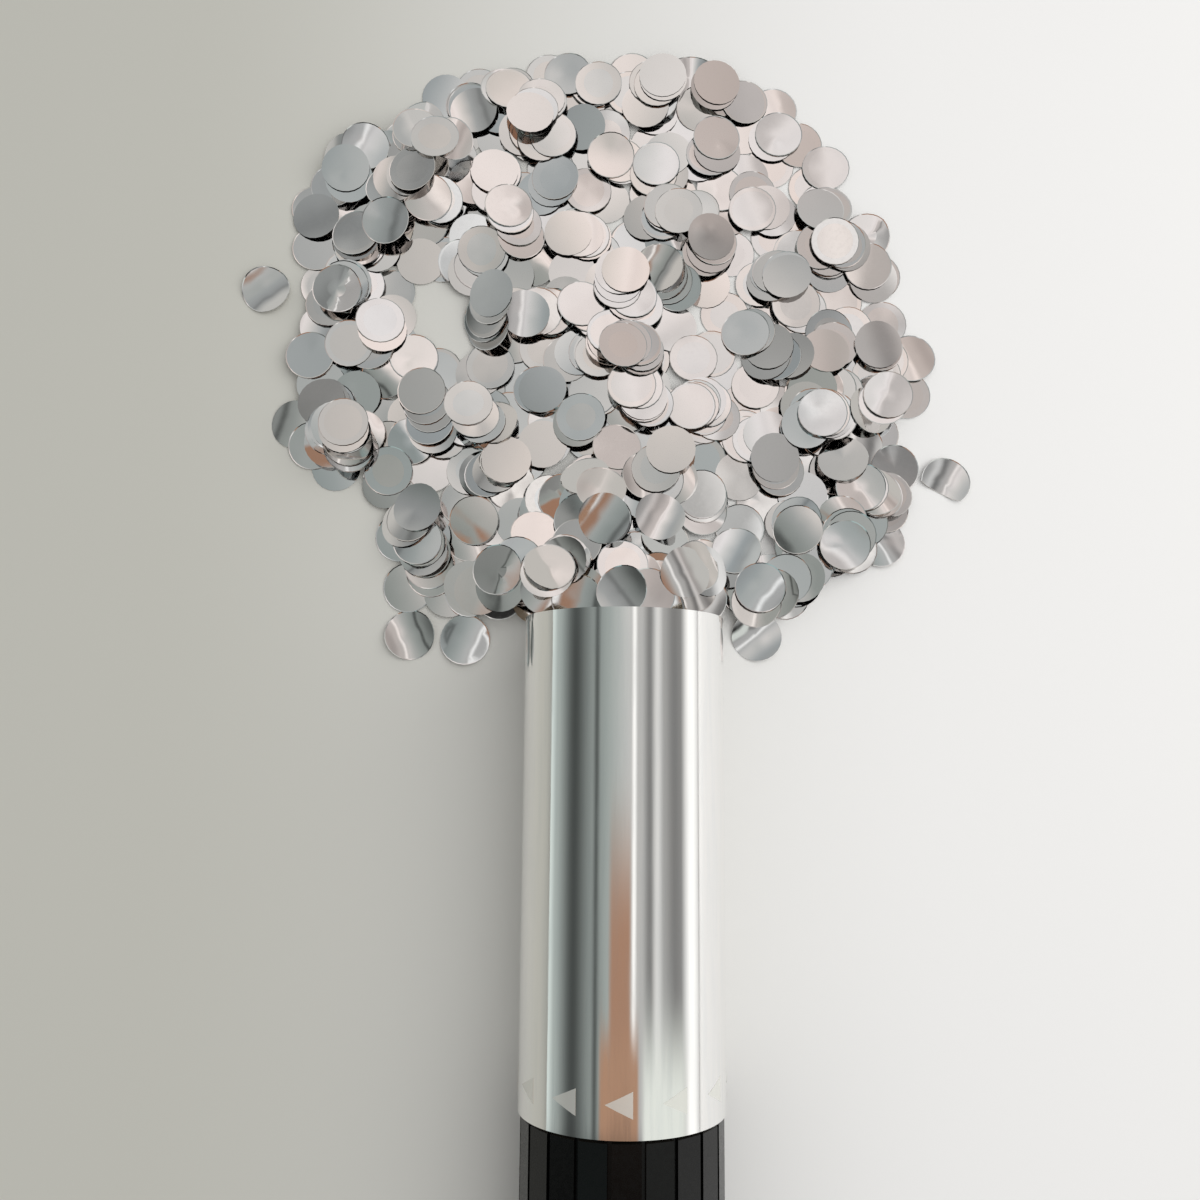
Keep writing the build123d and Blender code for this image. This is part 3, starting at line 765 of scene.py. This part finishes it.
def layClumps(heap, draw):
    centres = []
    for _ in range(confetti["clumps"]):
        centres.append(farthest(draw, confetti["clumpTries"], centres))
        x, y = centres[-1]
        way = draw.gauss(*confetti["clumpWay"])
        onLeft = clampShare((-x - confetti["leftFrom"]) / confetti["leftReach"])
        tilt = draw.uniform(*confetti["clumpLean"]) + confetti["leftLean"] * onLeft
        lean = (-tilt * math.cos(way), -tilt * math.sin(way))
        size = confetti["clumpSize"] if y < confetti["farTo"] else confetti["farSize"]
        for _ in range(draw.randint(*size)):
            if allowed(x, y):
                layDisc(heap, draw, x, y, lean)
            way += draw.gauss(0, confetti["clumpBend"])
            step = draw.uniform(*confetti["clumpStep"])
            x += step * math.cos(way)
            y += step * math.sin(way)


def layMouth(heap, draw):
    for _ in range(confetti["mouthDiscs"]):
        x = draw.gauss(0, confetti["mouthSpread"][0])
        y = confetti["mouthStart"] + abs(draw.gauss(0, confetti["mouthSpread"][1]))
        if y > confetti["radius"] or abs(x) < confetti["mouthBore"] * boreRadius / mm:
            want = (draw.gauss(0, confetti["mouthAside"]), -abs(draw.gauss(*confetti["mouthLean"])))
            shape = drawShape(draw, confetti["mouthWild"])
            heap.settle(x, y, shape, want, draw.uniform(*confetti["mouthStiff"]))


def spreadConfetti():
    draw = random.Random(confetti["seed"])
    heap = Heap()
    layStrays(heap, draw)
    strayCount = len(heap.discs)
    laySpread(heap, draw)
    layClumps(heap, draw)
    layMouth(heap, draw)
    return heap.discs[strayCount:], heap.discs[:strayCount]


def discMesh(disc, points, faces):
    shape = disc["shape"]
    radius = confetti["radius"]
    leanX, leanY = disc["lean"]
    normal = Vector((-leanX, -leanY, 1)).normalized()
    along = Vector((math.cos(shape["turn"]), math.sin(shape["turn"]), 0))
    along = (along - normal * along.dot(normal)).normalized()
    aside = normal.cross(along)
    centre = Vector((axisX / mm + disc["x"], mouthY / mm + disc["y"], disc["z"]))
    segments, rings = confetti["flatRings"] if shape["flat"] else confetti["bentRings"]
    layers = []
    for side in (1, 0):  # the upper face, then the lower one
        layer = []
        for share in (0.0,) + (rings if side or not shape["flat"] else rings[-1:]):
            lip = shape["lip"] if share == 1.0 else 0.0
            line = []
            for k in range(segments if share else 1):
                angle = 2 * math.pi * k / segments
                reach = share * radius
                if disc["cut"] and -math.sin(angle) * radius > disc["cut"]:
                    reach = share * disc["cut"] / -math.sin(angle)
                byAlong = reach * math.cos(angle)
                byAside = reach * math.sin(angle)
                lift = float(liftAt(shape, byAlong, byAside)) + lip + side * confetti["thickness"]
                line.append(len(points))
                points.append((centre + along * byAlong + aside * byAside + normal * lift) * mm)
            layer.append(line)
        layers.append(layer)
    following = [(k + 1) % segments for k in range(segments)]
    for layer, flip in zip(layers, (False, True)):
        for inner, outer in zip(layer, layer[1:]):
            for k, after in enumerate(following):
                face = (inner[0], outer[k], outer[after])
                if len(inner) > 1:
                    face = (inner[k], outer[k], outer[after], inner[after])
                faces.append(tuple(reversed(face)) if flip else face)
    top, bottom = layers[0][-1], layers[1][-1]
    for k, after in enumerate(following):
        faces.append((top[k], bottom[k], bottom[after], top[after]))


def buildConfetti(material):
    heap, strays = spreadConfetti()
    groups = (("confettiHeap", "confetti_heap", heap), ("confettiStrays", "confetti_strays", strays))
    for name, node, discs in groups:
        points = []
        faces = []
        for disc in discs:
            discMesh(disc, points, faces)
        piece = newPiece(name, points, faces, material, "barrel", confetti["sharpFrom"])
        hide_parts(node)
    print("confetti:", len(heap), "in the heap,", len(strays), "strays")


buildCamera()
buildWorld()
buildTable()
buildLamp()
print("camera and studio done")
materials = buildMaterials()
dressNodes(materials)
print("materials done")
buildArrows(materials["print"])
buildSpring(materials["spring_steel"])
buildConfetti(materials["confetti_foil"])
print("pieces done")
bpy.context.scene.view_settings.view_transform = "Standard"
